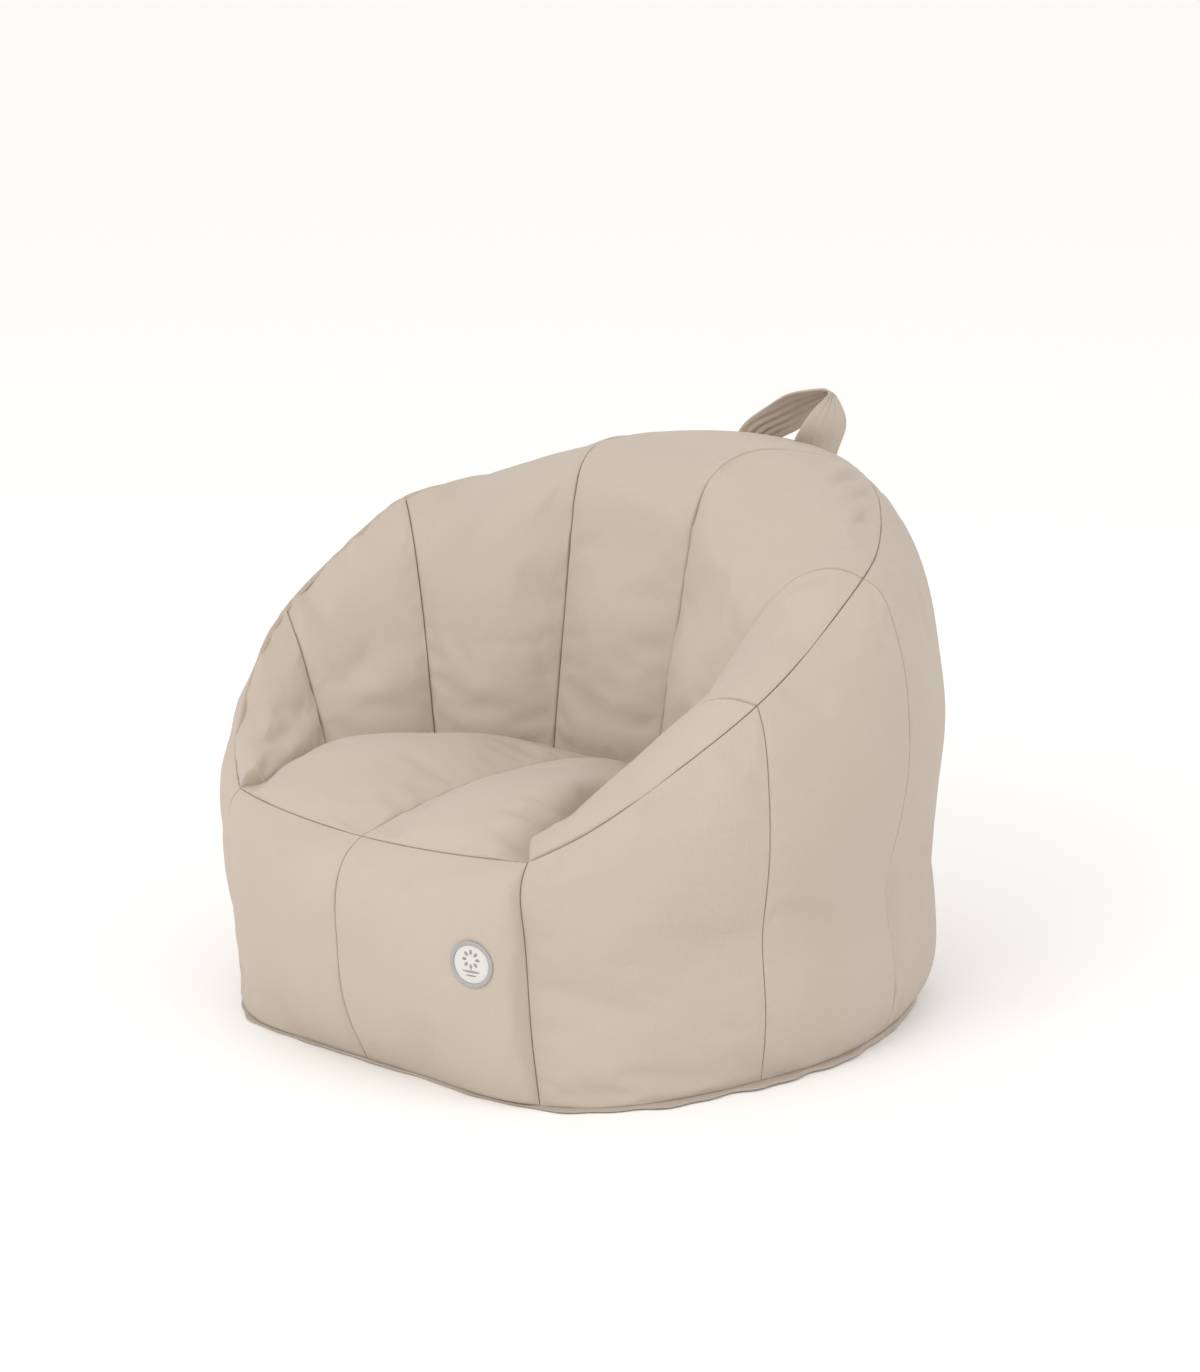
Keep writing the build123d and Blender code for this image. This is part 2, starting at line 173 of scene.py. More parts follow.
def smooth_line(points, places):
    """Natural cubic spline: the second derivatives solve a band matrix over the first
    column, and the other columns are read from it at the given places."""
    table = np.asarray(points, float)
    t, p = table[:, 0], table[:, 1:]
    h = np.diff(t)
    n = len(t)
    band = np.eye(n)
    bend = np.zeros_like(p)
    i = np.arange(1, n - 1)
    band[i, i - 1], band[i, i], band[i, i + 1] = h[:-1], 2 * (h[:-1] + h[1:]), h[1:]
    bend[i] = 6 * ((p[2:] - p[1:-1]) / h[1:, None] - (p[1:-1] - p[:-2]) / h[:-1, None])
    m = np.linalg.solve(band, bend)
    x = np.asarray(places, float)
    k = np.clip(np.searchsorted(t, x, "right") - 1, 0, n - 2)
    w = h[k][..., None]
    d, e = (x - t[k])[..., None], (t[k + 1] - x)[..., None]
    return ((m[k] * e ** 3 + m[k + 1] * d ** 3) / (6 * w) + (p[k] / w - m[k] * w / 6) * e
            + (p[k + 1] / w - m[k + 1] * w / 6) * d)


def along(points, fractions):
    """Smooth curve through the points, at fractions of its own length."""
    p = np.asarray(points, float)
    run = np.append(0, np.cumsum(np.linalg.norm(np.diff(p, axis=0), axis=1)))
    fine = smooth_line(np.column_stack([run, p]), np.linspace(0, run[-1], 400))
    length = np.append(0, np.cumsum(np.linalg.norm(np.diff(fine, axis=0), axis=1)))
    at = np.asarray(fractions) * length[-1]
    return np.stack([np.interp(at, length, fine[:, k]) for k in range(p.shape[1])], -1)


def folded(angle):
    """Angle from the front on either side, from 0 to 180."""
    return np.minimum(np.asarray(angle) % 360, 360 - np.asarray(angle) % 360)


def seam_key(*angles):
    """Name of the foremost of some seams in the tables: its angle on the +X side."""
    return round(float(min(folded(angle) for angle in angles)), 1)


def rim_line(angle):
    """(radius, height) of the rim seam, or of the seat's front edge, at an angle."""
    a = folded(angle)
    return np.where((a < CORNER)[..., None], smooth_line(RIM_FRONT, np.minimum(a, CORNER)),
                    smooth_line(RIM_TUB, np.maximum(a, CORNER)))


def base_radius(angle):
    """Radius of the base seam at an angle."""
    return smooth_line(BASE_LINE, np.asarray(angle) % 360)[..., 0]


def base_height(angle):
    """Height of the base seam at an angle."""
    return smooth_line(BASE_SEAM, folded(angle))[..., 0]


def polar(angle, radius, height):
    """Points from an angle in degrees off the front, a radius and a height."""
    a = np.radians(angle)
    return np.stack([radius * np.sin(a), -radius * np.cos(a), height + 0 * a], -1)


def spread(length, spacing=SPACING):
    """Fractions from 0 to 1, about a spacing apart and closer at both ends."""
    n = max(8, int(round(length / spacing)))
    t = np.linspace(0, 1, n + 1)
    return (1 - CLOSER_ENDS) * t + CLOSER_ENDS * (1 - np.cos(pi * t)) / 2


def normals(grid):
    """Unit normals of a grid of points: the cross product of its two directions."""
    n = np.cross(np.gradient(grid, axis=0), np.gradient(grid, axis=1))
    return n / np.maximum(np.linalg.norm(n, axis=-1, keepdims=True), 1e-12)


def ripple(grid, seed, size, height):
    """Smooth seeded unevenness: a sum of sine waves in random directions, about size long."""
    rng = np.random.default_rng(seed)
    total = np.zeros(grid.shape[:2])
    for _ in range(7):
        way = rng.normal(size=3)
        way *= 2 * pi / (size * rng.uniform(0.7, 1.6) * np.linalg.norm(way))
        total += np.sin(grid @ way + rng.uniform(0, 2 * pi))
    return height * total / 2.6


def grid_faces(nu, nv):
    """Quads of a grid of nu by nv points."""
    i = np.arange(nu * nv).reshape(nu, nv)
    return np.stack([i[:-1, :-1], i[1:, :-1], i[1:, 1:], i[:-1, 1:]], -1).reshape(-1, 4)


def fill_with_beads(name, grid, slack, pressure, reach):
    """Cloth simulation of one panel: its sewn edge is pinned, the cloth is cut larger by
    slack and pressed outwards, and no point travels further than reach."""
    nu, nv = grid.shape[:2]
    mesh = bpy.data.meshes.new("cloth")
    mesh.from_pydata(grid.reshape(-1, 3), [], grid_faces(nu, nv))
    cloth = bpy.data.objects.new("cloth", mesh)
    scene = bpy.context.scene
    scene.collection.objects.link(cloth)
    edge = np.ones((nu, nv), bool)
    edge[1:-1, 1:-1] = False
    cloth.vertex_groups.new(name="sewn").add(np.flatnonzero(edge).tolist(), 1.0, "REPLACE")
    sim = cloth.modifiers.new("cloth", "CLOTH")
    settings = sim.settings
    settings.quality = 5
    settings.mass = CLOTH_MASS
    settings.tension_stiffness = settings.compression_stiffness = CLOTH_STIFF
    settings.shear_stiffness = CLOTH_SHEAR
    settings.bending_stiffness = CLOTH_BEND
    settings.tension_damping = settings.compression_damping = settings.shear_damping = CLOTH_DAMPING
    settings.air_damping = AIR_DAMPING
    settings.vertex_group_mass = "sewn"
    settings.shrink_min = -slack
    settings.use_pressure = True
    settings.uniform_pressure_force = pressure
    settings.effector_weights.gravity = 0
    sim.point_cache.frame_start, sim.point_cache.frame_end = 1, SIM_FRAMES
    for step in range(1, SIM_FRAMES + 1):
        scene.frame_set(step)
    shape = cloth.evaluated_get(bpy.context.evaluated_depsgraph_get()).data
    settled = np.empty(nu * nv * 3)
    shape.vertices.foreach_get("co", settled)
    settled = settled.reshape(grid.shape)
    bpy.data.objects.remove(cloth)
    travel = settled - grid
    far = np.linalg.norm(travel, axis=-1, keepdims=True)
    print(f"{name}: cloth moved {1000 * far.max():.1f} mm, mean {1000 * far.mean():.1f} mm")
    return grid + travel * np.minimum(1, reach / np.maximum(far, 1e-9))


def edge_rise(grid):
    """0 on a panel's edge and 1 well inside: a product of rounded ramps."""
    nu, nv = grid.shape[:2]
    return np.outer(np.sin(pi * np.linspace(0, 1, nu)) ** 0.5, np.sin(pi * np.linspace(0, 1, nv)) ** 0.5)


def creased(grid, folds):
    """Presses folds into a panel. Each is (start, end, half width, depth): the cloth sinks
    along its normals by a bell across the fold, with a lower ridge on both sides, and the
    fold fades out at its two ends."""
    for start, end, half, depth in folds:
        a, way = np.array(start), np.array(end) - np.array(start)
        t = np.clip((grid - a) @ way / (way @ way), 0, 1)
        aside_by = np.cross(grid - a - t[..., None] * way, normals(grid))
        far = np.linalg.norm(aside_by, axis=-1) / half
        bell = np.exp(-far ** 2) - 0.4 * np.exp(-(far - 1.9) ** 2)
        fade = np.sin(pi * (0.12 + 0.76 * t)) ** 1.2
        grid = grid - normals(grid) * (depth * bell * fade * edge_rise(grid) ** 0.5)[..., None]
    return grid


def lengths(grid):
    """Mean distance along each of a grid's two directions, from its first row."""
    along_u = np.linalg.norm(np.diff(grid, axis=0), axis=-1).mean(1)
    along_v = np.linalg.norm(np.diff(grid, axis=1), axis=-1).mean(0)
    return np.append(0, np.cumsum(along_u)), np.append(0, np.cumsum(along_v))


def hem(grid, sink, gap):
    """Turns a panel's edge in along the seam: rings of points step across from the seam
    line, by gap times the usual, and down along the sink direction, which is into the
    chair. Also returns how much each point is in the seam's shade."""
    k = len(HEM_DOWN) - 1
    nu, nv = grid.shape[:2]

    def rank(n):
        place = np.arange(-k, n + k)
        low, high = -place, place - (n - 1)
        return np.clip(place, 0, n - 1), np.maximum(low, high), np.where(low > high, 1, -1)

    iu, du, way_u = rank(nu)
    iv, dv, way_v = rank(nv)
    base = grid[iu][:, iv]

    def unit(v):
        return v / np.maximum(np.linalg.norm(v, axis=-1, keepdims=True), 1e-12)

    in_u = unit(np.concatenate([(grid[1] - grid[0])[None], (grid[-2] - grid[-1])[None]]))[:, iv]
    in_v = unit(np.stack([grid[:, 1] - grid[:, 0], grid[:, -2] - grid[:, -1]], 1))[iu]
    in_u = in_u[np.where(way_u > 0, 0, 1)]
    nearer = np.where(way_v > 0, 0, 1)[None, :, None] * np.ones((len(iu), 1, 3), int)
    in_v = np.take_along_axis(in_v, nearer, 1)
    across_u = gap * np.where(du >= 0, HEM_ACROSS[np.maximum(du, 0)], 0)[:, None, None]
    across_v = gap * np.where(dv >= 0, HEM_ACROSS[np.maximum(dv, 0)], 0)[None, :, None]
    deepest = np.maximum(du[:, None], dv[None, :])
    down = np.where(deepest >= 0, HEM_DOWN[np.maximum(deepest, 0)], 0)[..., None]
    shade = np.where(deepest >= 0, SEAM_SHADE[np.maximum(deepest, 0)], 0)
    return base + in_u * across_u + in_v * across_v + sink[iu][:, iv] * down, shade


def panel_map(piece, grid, shade=None):
    """Lays the grid's own lengths in metres on the piece as a flat map, and the seam shade."""
    u, v = lengths(grid)
    place = np.stack(np.meshgrid(u, v, indexing="ij"), -1).reshape(-1, 2)
    corner = np.empty(len(piece.data.loops), int)
    piece.data.loops.foreach_get("vertex_index", corner)
    piece.data.uv_layers.new(name="panel").data.foreach_set("uv", place[corner].ravel())
    if shade is not None:
        piece.data.attributes.new("seam", "FLOAT", "POINT").data.foreach_set("value", shade.ravel())


def thicken(piece, thickness, offset):
    """Cloth thickness and one subdivision."""
    wall = piece.modifiers.new("cloth_thickness", "SOLIDIFY")
    wall.thickness = thickness
    wall.offset = offset
    wall.use_even_offset = False
    smooth = piece.modifiers.new("smooth", "SUBSURF")
    smooth.levels = smooth.render_levels = 1


def sewn_panel(name, grid, sink, material, gap=1.0):
    """Finished panel: hemmed grid, a panel map in metres, cloth thickness and one subdivision."""
    full, shade = hem(grid, sink, gap)
    piece = add_piece(name, full.reshape(-1, 3), grid_faces(*full.shape[:2]), material)
    panel_map(piece, full, shade)
    thicken(piece, CLOTH, -1)
    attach(piece, "chair")
    return piece


def canvas_material(name, tint, thread):
    """Plain-woven canvas: the bump and colour follow sine threads on the panel map, a long
    slub noise, and slow changes of shade; near the floor it is a little darker, in patches."""
    material, nodes, links, shader = node_material(name, (0, 0, 0, 1), 0.88)
    shader.inputs["Sheen Weight"].default_value = 0.12
    shader.inputs["Sheen Roughness"].default_value = 0.5
    shader.inputs["Specular IOR Level"].default_value = 0.25

    def maths(kind, a, b=None):
        node = nodes.new("ShaderNodeMath")
        node.operation = kind
        for socket, value in zip(node.inputs, (a, b)):
            if isinstance(value, (int, float)):
                socket.default_value = value
            elif value is not None:
                links.new(value, socket)
        return node.outputs[0]

    place = nodes.new("ShaderNodeUVMap")
    place.uv_map = "panel"
    axes = nodes.new("ShaderNodeSeparateXYZ")
    links.new(place.outputs[0], axes.inputs[0])
    turn = 2 * pi / thread
    warp = maths("SINE", maths("MULTIPLY", axes.outputs[0], turn))
    weft = maths("SINE", maths("MULTIPLY", axes.outputs[1], turn))
    weave = maths("MULTIPLY", warp, weft)

    def noise(scale, detail, source, stretch=(1, 1, 1)):
        mapping = nodes.new("ShaderNodeMapping")
        mapping.inputs["Scale"].default_value = stretch
        links.new(source, mapping.inputs["Vector"])
        node = nodes.new("ShaderNodeTexNoise")
        node.inputs["Scale"].default_value = scale
        node.inputs["Detail"].default_value = detail
        links.new(mapping.outputs[0], node.inputs["Vector"])
        return node.outputs["Fac"]

    slub = noise(90, 2, place.outputs[0], (1, 9, 1))
    slub_across = noise(90, 2, place.outputs[0], (9, 1, 1))
    solid = nodes.new("ShaderNodeTexCoord").outputs["Object"]
    shade = noise(7, 3, solid)
    fibre = noise(900, 2, solid)
    height = maths("ADD", maths("MULTIPLY", weave, 0.5), maths("MULTIPLY", fibre, 0.8))
    height = maths("ADD", height, maths("MULTIPLY", maths("ADD", slub, slub_across), 0.7))
    bump = nodes.new("ShaderNodeBump")
    bump.inputs["Strength"].default_value = 0.55
    bump.inputs["Distance"].default_value = 0.00022
    links.new(height, bump.inputs["Height"])
    links.new(bump.outputs[0], shader.inputs["Normal"])

    level = maths("ADD", maths("MULTIPLY", weave, 0.07), maths("MULTIPLY", fibre, 0.10))
    level = maths("ADD", level, maths("MULTIPLY", maths("ADD", slub, slub_across), 0.10))
    level = maths("ADD", level, maths("MULTIPLY", shade, 0.22))
    ramp = nodes.new("ShaderNodeValToRGB")
    ramp.color_ramp.elements[0].position = 0.08
    ramp.color_ramp.elements[1].position = 0.48
    ramp.color_ramp.elements[0].color = (tint[0] * 0.88, tint[1] * 0.865, tint[2] * 0.84, 1)
    ramp.color_ramp.elements[1].color = (tint[0] * 1.06, tint[1] * 1.06, tint[2] * 1.06, 1)
    links.new(level, ramp.inputs[0])
    solid_axes = nodes.new("ShaderNodeSeparateXYZ")
    links.new(solid, solid_axes.inputs[0])
    # Within 35 mm of the floor the colour is mixed, in noise patches, towards a darker and warmer tint.
    low = nodes.new("ShaderNodeMapRange")
    low.inputs["From Min"].default_value = 0.0
    low.inputs["From Max"].default_value = 0.035
    low.inputs["To Min"].default_value = 0.35
    low.inputs["To Max"].default_value = 0.0
    links.new(solid_axes.outputs[2], low.inputs["Value"])
    darker_near_floor = nodes.new("ShaderNodeMix")
    darker_near_floor.data_type = "RGBA"
    darker_near_floor.inputs["B"].default_value = (tint[0] * 0.72, tint[1] * 0.68, tint[2] * 0.62, 1)
    links.new(maths("MULTIPLY", low.outputs[0], shade), darker_near_floor.inputs["Factor"])
    links.new(ramp.outputs[0], darker_near_floor.inputs["A"])
    # Painted shade: the hem rings that sink into each seam groove are mixed, by the seam attribute, towards a
    # darker and browner tint.
    seam = nodes.new("ShaderNodeAttribute")
    seam.attribute_name = "seam"
    painted_seam_shade = nodes.new("ShaderNodeMix")
    painted_seam_shade.data_type = "RGBA"
    painted_seam_shade.inputs["B"].default_value = (tint[0] * 0.86, tint[1] * 0.82, tint[2] * 0.77, 1)
    links.new(seam.outputs["Fac"], painted_seam_shade.inputs["Factor"])
    links.new(darker_near_floor.outputs["Result"], painted_seam_shade.inputs["A"])
    links.new(painted_seam_shade.outputs["Result"], shader.inputs["Base Color"])
    rough = nodes.new("ShaderNodeMapRange")
    rough.inputs["To Min"].default_value = 0.80
    rough.inputs["To Max"].default_value = 0.94
    links.new(slub, rough.inputs["Value"])
    links.new(rough.outputs[0], shader.inputs["Roughness"])
    return material


CANVAS_TINT = (0.514, 0.443, 0.380)
THREAD = 0.0011
canvas = canvas_material("canvas", CANVAS_TINT, THREAD)


def wall_curve(angle, v):
    """(angle, radius, height) along an upright seam at fractions v of its length, rim first.
    The corner seams are swayed in angle."""
    turned = seam_key(angle)
    line = along(WALL_SEAMS[turned], v)
    sway = smooth_line(CORNER_SWAY, v)[:, 0] if turned == CORNER else 0 * line[:, 0]
    return angle + (sway if angle < 180 else -sway), line[:, 0], line[:, 1]


def wall_grid(start, end):
    """Outer panel between two seams: the seam curves are blended by angle, corrected to meet
    the rim and the base seam, and swollen by a rounded product of sines."""
    f = spread(radians(end - start) * WALL_RADIUS)[:, None]
    v = spread(rim_line(np.array([start, end]))[:, 1].max())
    (turn_a, radius_a, height_a), (turn_b, radius_b, height_b) = wall_curve(start, v), wall_curve(end, v)
    angle = turn_a * (1 - f) + turn_b * f
    radius = radius_a * (1 - f) + radius_b * f
    height = height_a * (1 - f) + height_b * f
    rim = rim_line(angle[:, 0])
    radius = radius + (rim[:, 0] - radius[:, 0])[:, None] * (1 - v) ** 3
    radius = radius + (base_radius(angle[:, -1]) - radius[:, -1])[:, None] * v ** 3
    height = height + (rim[:, 1] - height[:, 0])[:, None] * (1 - v)
    height = height + (base_height(angle[:, -1]) - height[:, -1])[:, None] * v ** 3
    upper, lower = WALL_PUFF[seam_key(start, end)]
    swell = (upper * (1 - v) + lower * v) * np.sin(pi * f) ** 0.8 * np.sin(pi * v) ** 0.6
    return polar(angle, radius + swell, height)[::-1]


def seam_sink(line, out):
    """Direction into the chair along a seam: square to the seam, in the upright plane that
    holds the level direction out."""
    run = np.gradient(line, axis=0)
    across, up = run @ out, run[:, 2]
    size = np.maximum(np.hypot(across, up), 1e-9)[:, None]
    return (up[:, None] * out - across[:, None] * np.array([0, 0, 1])) / size


def level(points):
    """Unit directions from the chair's middle to points, kept level."""
    flat = points * np.array([1, 1, 0])
    return flat / np.linalg.norm(flat, axis=-1, keepdims=True)


# How the hems lie at the rim and at the foot: inwards, and downwards or upwards.
RIM_TUCK = (0.75, 0.66)
FOOT_TUCK = (0.85, 0.5)


def wall_sink(grid):
    """Direction of a wall panel's hem: square to the upright seams, and between the two
    panels that meet at the rim and at the base."""
    sink = -normals(grid)
    for edge in (0, -1):
        sink[edge] = seam_sink(grid[edge], level(grid[edge, 0]))
    sink[:, 0] = -RIM_TUCK[0] * level(grid[:, 0]) + np.array([0, 0, -RIM_TUCK[1]])
    sink[:, -1] = -FOOT_TUCK[0] * level(grid[:, -1]) + np.array([0, 0, FOOT_TUCK[1]])
    return sink


def outer_wall(name, start, end, seed, fuller=0.0):
    """One wall panel, filled and sewn; fuller swells it outwards beside its second seam."""
    grid = wall_grid(start, end)
    if fuller:
        part = np.linspace(1, 0, grid.shape[0])[:, None]
        rise = np.sin(pi * part ** FULL_PLACE) ** 0.8 * np.sin(pi * np.linspace(0, 1, grid.shape[1])) ** 0.5
        grid = grid + level(grid) * (fuller * rise)[..., None]
    grid = grid + normals(grid) * (ripple(grid, seed, 0.10, 0.0012) * edge_rise(grid))[..., None]
    grid = fill_with_beads(name, grid, slack=0.010, pressure=3.0, reach=0.005)
    grid = creased(grid, WALL_FOLDS.get(name, ()))
    return grid, sewn_panel(name, grid, wall_sink(grid), canvas)


WALL_FOLDS = {
    "canvas_outer_arm_right": [((.222, -.190, .095), (.236, -.171, .084), .004, .0025),
                               ((.262, -.150, .060), (.283, -.105, .048), .006, .0022)],
    "canvas_outer_wing_right": [((.280, .062, .150), (.284, .062, .060), .009, .0060),
                                ((.268, .130, .375), (.285, .120, .330), .008, .0030)],
    "canvas_front_left": [((-.030, -.290, .165), (-.075, -.287, .172), .006, .0020)],
    "canvas_front_right": [((.014, -.291, .160), (.040, -.292, .168), .005, .0020)],
}
WALL_SPANS = (("arm_right", CORNER, 70.7), ("shoulder_right", 70.7, 101), ("wing_right", 101, 155),
              ("back", 155, 205), ("wing_left", 205, 259), ("shoulder_left", 259, 289.3),
              ("arm_left", 289.3, 360 - CORNER))
for number, (span, start, end) in enumerate(WALL_SPANS):
    _, piece = outer_wall("canvas_outer_" + span, start, end, seed=11 + number)
    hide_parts("outer_panel_" + span)


# ---------------------------------------------------------------- front
# Two canvas panels meet in an upright seam up the middle of the front. They are cut and
# filled like the wall, and their top edge is the seat's front edge. The right one is fullest
# beside the front corner, so that its face looks straight ahead there.
FRONT_FULL, FULL_PLACE = .013, 6.0
front_grids = {}
for number, (side, start, end) in enumerate((("right", 0, CORNER), ("left", 360 - CORNER, 360))):
    front_grids[side], piece = outer_wall("canvas_front_" + side, start, end, seed=31 + number,
                                          fuller=FRONT_FULL if side == "right" else 0)
    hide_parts("front_panel_" + side)


# ---------------------------------------------------------------- inside of the tub
# Seven channelled panels line the arms and the back. Each runs from the seat up over the
# crest to the rim seam, and swells towards the sitter between its two seams.
# Angle of the rim end: foot at the seat, then (distance out from the foot, height).
TUB_SEAMS = {
    CORNER: ((.147, -.224), [(0, .188), (.004, .200), (.009, .2085), (.014, .2085), (.018, .2025),
                             (.0216, .1935)]),
    70.7: ((.167, -.128), [(0, .188), (.009, .216), (.022, .254), (.038, .288), (.056, .3035),
                           (.077, .3085), (.099, .3045)]),
    101.0: ((.138, -.034), [(0, .188), (.009, .222), (.024, .264), (.044, .314), (.064, .352), (.083, .375),
                            (.100, .385), (.122, .3875), (.142, .380)]),
    155.0: ((.057, .025), [(0, .188), (.007, .230), (.014, .268), (.022, .310), (.031, .360), (.041, .403),
                           (.054, .4300), (.074, .4450), (.104, .4505), (.150, .4455), (.190, .4350),
                           (.222, .4205)]),
}
# The cushion has settled on the sitter's right: two arm seams run straighter down from the
# rim, and the back's seam is lower over the crest.
TUB_SEAMS[289.3] = ((.167, -.128), [(0, .188), (.012, .197), (.032, .2255), (.045, .2445), (.064, .270),
                                    (.082, .2885), (.092, .298), (.099, .3045)])
TUB_SEAMS[205.0] = ((.057, .025), [(0, .188), (.007, .230), (.014, .268), (.022, .310), (.031, .360),
                                   (.041, .403), (.054, .4285), (.074, .4385), (.104, .4400),
                                   (.150, .4365), (.190, .4295), (.222, .4205)])
TUB_SEAMS[259.0] = ((.138, -.034), [(0, .188), (.012, .215), (.030, .250), (.052, .290), (.078, .325),
                                    (.105, .354), (.125, .370), (.142, .380)])
# The arm panels' front edge is folded this much deeper than a hem, down behind the seat.
ARM_FRONT_DROP = 4.4
# The channel seams pull in harder than the others, so their grooves are wider.
CHANNEL_GAP = 2.0
TUB_PUFF = {CORNER: .006, 70.7: .013, 101.0: .012, 155.0: .011}


def tub_seam(angle, v):
    """Points along a channel seam at fractions v, from the seat to the rim."""
    turned = seam_key(angle)
    foot, line = TUB_SEAMS.get(round(float(angle), 1), TUB_SEAMS[turned])
    rim = rim_line(np.array([turned]))[0]
    end = polar(turned, rim[0], rim[1])
    reach = end[:2] - np.array(foot)
    curve = along(line, v)
    share = curve[:, :1] / line[-1][0]
    height = curve[:, 1:] + share ** 4 * (rim[1] - line[-1][1])
    points = np.concatenate([np.array(foot) + reach * share, height], 1)
    return points * np.array([1 if angle <= 180 else -1, 1, 1])


CREST_START, CREST_END = 0.27, 0.47
CREST_FADE = {"wing_left": 0.0, "wing_right": 1.3, "back": 1.3}
RIM_EASE = 0.7


def tub_grid(start, end, puff, fading):
    """Inner panel: the two seam curves joined by straight lines, eased out to the rim's own
    curve over the crest, and swollen towards the sitter, less so over the crest."""
    taller = tub_seam(end if folded(end) > folded(start) else start, np.linspace(0, 1, 60))
    wide = np.linalg.norm(tub_seam(start, [1])[0] - tub_seam(end, [1])[0])
    f = spread(wide)[:, None, None]
    v = spread(np.linalg.norm(np.diff(taller, axis=0), axis=1).sum())
    grid = tub_seam(start, v)[None] * (1 - f) + tub_seam(end, v)[None] * f
    angle = start + (end - start) * f[:, 0, 0]
    rim = rim_line(angle)
    ease = np.clip((v - RIM_EASE) / (1 - RIM_EASE), 0, 1)
    ease = ease * ease * (3 - 2 * ease)
    grid = grid + (polar(angle, rim[:, 0], rim[:, 1]) - grid[:, -1])[:, None] * ease[None, :, None]
    over = np.clip((v - CREST_START) / (CREST_END - CREST_START), 0, 1)
    fade = 1 - fading * over * over * (3 - 2 * over)
    swell = puff * np.sin(pi * f[..., 0]) ** (0.7 + 1.1 * over) * np.sin(pi * v[None]) ** 0.6 * fade
    return grid + normals(grid) * swell[..., None]


# The hems between tub and seat run downwards and sideways alike.
SLANT = 0.7


def tub_sink(grid):
    """Direction of an inner panel's hem: into the wall, steeply down at the rim."""
    sink = -normals(grid)
    for edge in (0, -1):
        sink[edge] = seam_sink(grid[edge], level(grid[edge, -1] - grid[edge, 0]))
    sink[:, -1] = -RIM_TUCK[0] * level(grid[:, -1]) + np.array([0, 0, -RIM_TUCK[1]])
    sink[:, 0] = SLANT * level(grid[:, -1]) + np.array([0, 0, -SLANT])
    return sink


TUB_FOLDS = {
    "back": [((-.040, .030, .232), (.010, .036, .226), .008, .0022),
             ((.010, .034, .232), (.052, .028, .224), .008, .0025)],
    "wing_left": [((-.138, -.024, .226), (-.090, .006, .224), .008, .0026),
                  ((-.062, .028, .236), (-.076, .030, .275), .007, .0018)],
    "shoulder_left": [((-.182, -.100, .233), (-.152, -.050, .224), .008, .0026),
                      ((-.210, -.089, .262), (-.167, -.072, .243), .008, .0016)],
    "arm_left": [((-.209, -.181, .238), (-.190, -.133, .232), .008, .0024),
                 ((-.181, -.203, .217), (-.182, -.131, .214), .008, .0022)],
    "wing_right": [((.118, .220, .421), (.140, .150, .419), .006, .0070),
                   ((.142, .203, .417), (.168, .135, .411), .006, .0070),
                   ((.166, .179, .411), (.198, .108, .404), .006, .0065),
                   ((.136, .021, .350), (.170, -.004, .316), .010, .0030),
                   ((.100, .000, .240), (.125, -.018, .262), .009, .0025)],
    "shoulder_right": [((.205, .000, .370), (.236, .030, .387), .006, .0040)],
}
TUB_SPANS = (("arm_right", CORNER, 70.7), ("shoulder_right", 70.7, 101), ("wing_right", 101, 155),
             ("back", 155, 205), ("wing_left", 205, 259), ("shoulder_left", 259, 289.3),
             ("arm_left", 289.3, 360 - CORNER))
for number, (span, start, end) in enumerate(TUB_SPANS):
    name = "canvas_inner_" + span
    grid = tub_grid(end, start, TUB_PUFF[seam_key(start, end)], CREST_FADE.get(span, 1.4))
    grid = grid + normals(grid) * (ripple(grid, 51 + number, 0.10, 0.0014) * edge_rise(grid))[..., None]
    grid = fill_with_beads(name, grid, slack=0.010, pressure=3.0, reach=0.004)
    grid = creased(grid, TUB_FOLDS.get(span, ()))
    sink = tub_sink(grid)
    if "arm" in span:
        sink[-1 if "right" in span else 0] = (0, 0, -ARM_FRONT_DROP)
    piece = sewn_panel(name, grid, sink, canvas, gap=CHANNEL_GAP)
    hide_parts("inner_panel_" + span)


# ---------------------------------------------------------------- seat
# The seat's top is two canvas panels sewn along a valley from front to back. Each half is
# crowned, highest a little in front of its middle, and tucks in under the arms and the back.
SEAT_VALLEY = [(0, .188), (.11, .194), (.28, .201), (.48, .206), (.66, .205), (.86, .200), (1, .190)]
SEAT_CROWN = .026
SEAT_WIDE, SEAT_DEEP = .165, .27
SEAT_MIDDLE = np.array([0, -0.1, 0])


def seat_edge(points, fractions):
    """Straight-sided outline through the points at fractions of its length."""
    p = np.asarray(points, float)
    run = np.append(0, np.cumsum(np.linalg.norm(np.diff(p, axis=0), axis=1)))
    return np.stack([np.interp(fractions * run[-1], run, p[:, k]) for k in range(3)], -1)


